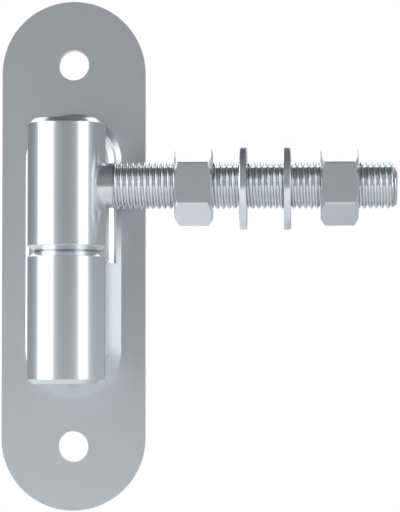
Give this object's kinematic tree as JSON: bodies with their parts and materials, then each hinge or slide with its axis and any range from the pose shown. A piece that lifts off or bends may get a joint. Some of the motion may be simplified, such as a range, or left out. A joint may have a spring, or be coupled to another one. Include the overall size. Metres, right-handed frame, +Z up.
{
  "type": "gate hinge",
  "caption": "Lift-off gate hinge: obround wall plate and pedestal with a pinned knuckle, the upper knuckle carrying a horizontal threaded stud with nuts and washers.",
  "frame": {"origin": "centre of the wall plate's back face", "axes": "+X out along the threaded stud, +Z up along the hinge axis, +Y into the wall, so the plate's front faces -Y"},
  "size_m": [0.1724, 0.0595, 0.224],
  "materials": {
    "plate_zinc": "bright zinc plate, satin",
    "knuckle_zinc": "bright zinc plate, turned and polished",
    "weld_metal": "ground flush, zinc plated",
    "pin_steel": "ground, greased",
    "bearing_bronze": "turned",
    "stud_zinc": "bright zinc plate, rolled thread",
    "nut_zinc": "bright zinc plate",
    "washer_zinc": "bright zinc plate, punched"
  },
  "bodies": {
    "base": {"mounting_plate": "plate_zinc", "lower_knuckle": "knuckle_zinc", "weld_seam": "weld_metal", "pivot_pin": "pin_steel", "thrust_washer": "pin_steel"},
    "bush": {"bearing_bush": "bearing_bronze"},
    "leaf": {"upper_knuckle": "knuckle_zinc", "threaded_stud": "stud_zinc"},
    "inner_nut": {"inner_nut": "nut_zinc"},
    "inner_washer": {"inner_washer": "washer_zinc"},
    "outer_washer": {"outer_washer": "washer_zinc"},
    "outer_nut": {"outer_nut": "nut_zinc"}
  },
  "joints": [
    {"name": "lift_off", "type": "slide", "parent": "base", "child": "bush", "axis": [0, 0, 1], "range_m": [0, 0.042]},
    {"name": "gate_swing", "type": "hinge", "parent": "bush", "child": "leaf", "pos_m": [0, -0.041, 0], "axis": [0, 0, -1], "range_deg": [0, 180]},
    {"name": "inner_nut_travel", "type": "slide", "parent": "leaf", "child": "inner_nut", "axis": [1, 0, 0], "range_m": [-0.025, 0.0055]},
    {"name": "inner_washer_travel", "type": "slide", "parent": "leaf", "child": "inner_washer", "axis": [1, 0, 0], "range_m": [-0.0055, 0.0075]},
    {"name": "outer_washer_travel", "type": "slide", "parent": "leaf", "child": "outer_washer", "axis": [1, 0, 0], "range_m": [-0.0075, 0.006]},
    {"name": "outer_nut_travel", "type": "slide", "parent": "leaf", "child": "outer_nut", "axis": [1, 0, 0], "range_m": [-0.006, 0.016]}
  ]
}
